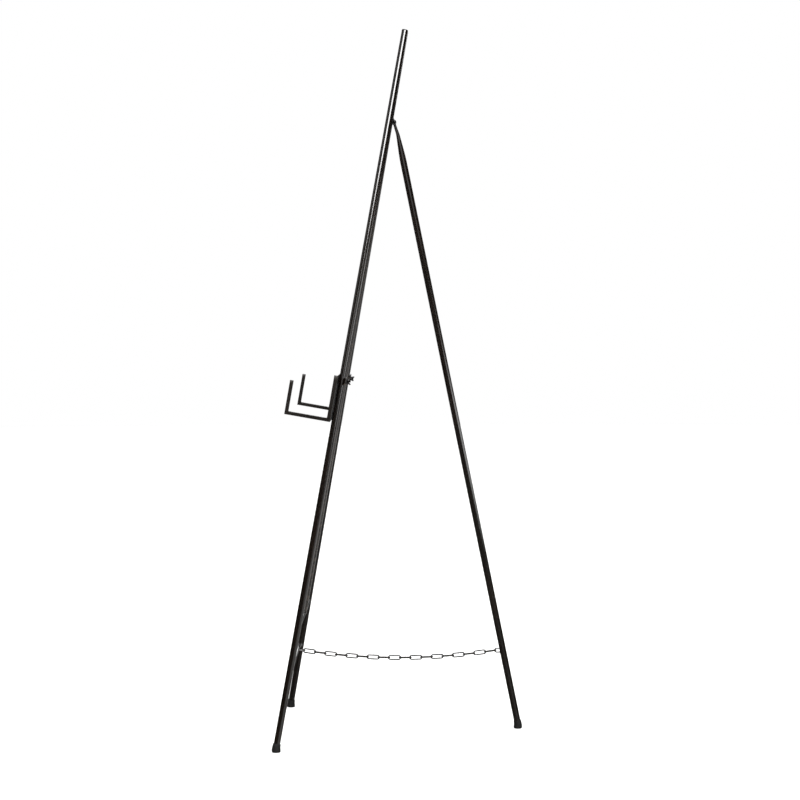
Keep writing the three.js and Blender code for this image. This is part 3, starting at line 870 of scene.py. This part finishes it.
# ---------- studio ----------
SKY_TOP = 2.7  # overhead
SKY_BASE = 0.02  # all round
SKY_WALL = 2.2  # far side, just above the horizon
SKY_BELOW = 0.7  # behind the easel, just below the horizon
LIT_POINT = Vector((0, 0, 0.9))  # what every softbox is turned to
SOFTBOXES = (  # name, place, width, height, watts
    ("key_softbox", (5.2, 1.0, 4.75), 4.4, 2.2, 400),
    ("fill_softbox", (-3.5, 2.5, 4.5), 3.0, 3.0, 60),
    ("low_card", (2.5, 0.2, 1.62), 2.0, 0.5, 2.2),
    ("side_card", (1.75, 4.5, 1.25), 6.5, 0.6, 30),
    ("front_softbox", (0.5, -5.5, 3.6), 4.0, 2.2, 12),
)


def paper_floor():
    """A wide disc of pale paper that glossy tubes don't mirror."""
    mesh = bpy.data.meshes.new("studio_floor")
    verts, faces = turned([(0, -2 * MM), (14, -2 * MM), (14, 0), (0, 0)], 96)
    mesh.from_pydata([tuple(v) for v in verts], [], faces)
    floor = bpy.data.objects.new("studio_floor", mesh)
    bpy.context.scene.collection.objects.link(floor)
    paper = Shader("pale_paper", 0.9, specular=0.1)
    dull, bright = (0.88, 0.88, 0.88), (0.91, 0.91, 0.905)
    paper.colour(paper.ramp(paper.noise(3, 3), (0.3, dull), (0.7, bright)))
    paper.surface.inputs["Emission Color"].default_value = (1, 1, 1, 1)
    paper.surface.inputs["Emission Strength"].default_value = 0.14
    mesh.materials.append(paper.material)
    floor.visible_glossy = False


def surroundings():
    """Plain white behind the easel, and a dim room with a few bright areas for reflections."""
    world = bpy.data.worlds.new("studio_world")
    bpy.context.scene.world = world
    world.use_nodes = True
    world.node_tree.nodes.clear()
    room = Nodes(world.node_tree)
    parts = room.add("ShaderNodeSeparateXYZ")
    room.link(room.add("ShaderNodeTexCoord").outputs["Generated"], parts.inputs[0])
    x, y, z = parts.outputs

    top = room.span(z, 0.45, 0.95, SKY_BASE, SKY_TOP)
    below = room.times(room.span(z, -0.14, -0.03, SKY_BELOW, 0.0),
                       room.span(z, -0.42, -0.2, 0.2, 1.0))
    below = room.times(below, room.span(y, -0.1, 0.6, 0.1, 1.0))
    wall = room.times(room.span(x, -0.97, -0.8, SKY_WALL, 0.0),
                      room.span(z, 0.07, 0.13, 0.0, 1.0))
    dim = room.add("ShaderNodeBackground")
    room.link(room.calculate("ADD", top, room.calculate("ADD", below, wall)),
              dim.inputs["Strength"])
    plain = room.add("ShaderNodeBackground")
    plain.inputs["Strength"].default_value = 1.0
    plain.inputs["Color"].default_value = (1, 1, 1, 1)
    choose = room.add("ShaderNodeMixShader")
    room.link(room.add("ShaderNodeLightPath").outputs["Is Camera Ray"], choose.inputs[0])
    room.link(dim.outputs[0], choose.inputs[1])
    room.link(plain.outputs[0], choose.inputs[2])
    room.link(choose.outputs[0], room.add("ShaderNodeOutputWorld").inputs["Surface"])


def softbox(name, place, wide, tall, power):
    light = bpy.data.lights.new(name, "AREA")
    light.shape = "RECTANGLE"
    light.size, light.size_y, light.energy = wide, tall, power
    lamp = bpy.data.objects.new(name, light)
    lamp.location = place
    lamp.visible_camera = False
    aim = LIT_POINT - Vector(place)
    lamp.rotation_euler = aim.to_track_quat("-Z", "Y").to_euler()
    bpy.context.scene.collection.objects.link(lamp)


def studio():
    paper_floor()
    surroundings()
    for values in SOFTBOXES:
        softbox(*values)


# ---------- camera ----------
EYE = Vector((4.8842, 0.0424, 0.9766))
YAW, PITCH, ROLL = -0.00874, 0.0397, -0.00264  # radians, from straight along -X
FOCAL_LENGTH = 92.92  # mm, on a sensor 36 mm wide


def camera():
    """At the easel's right side, a little over half its height, looking almost level."""
    data = bpy.data.cameras.new("camera")
    data.sensor_width = 36
    data.lens = FOCAL_LENGTH
    forward = Vector((-math.cos(YAW) * math.cos(PITCH), math.sin(YAW) * math.cos(PITCH),
                      -math.sin(PITCH)))
    level = forward.cross(Z).normalized()
    upright = level.cross(forward)
    right = level * math.cos(ROLL) + upright * math.sin(ROLL)
    up = upright * math.cos(ROLL) - level * math.sin(ROLL)
    eye = bpy.data.objects.new("camera", data)
    eye.matrix_world = basis(right, up, -forward, EYE)
    bpy.context.scene.collection.objects.link(eye)
    bpy.context.scene.camera = eye


# ---------- the scene ----------
camera()
studio()
front_legs()
mast()
crossbars()
tie_bars()
for _, side_name in HANDS:
    foot(f"{side_name}_foot", "frame", f"{side_name}_front_leg")
foot("back_foot", "back_leg", "back_leg_tube")
hinge()
back_leg()
for link_number in range(1, LINKS + 1):
    link(link_number)
staple("front_chain_eye", "frame", Vector((0, -1, 0)), X)
staple("back_chain_staple", "back_leg", Vector((0, 1, 0)), Z)
holder()

bpy.context.scene.view_settings.view_transform = "Standard"
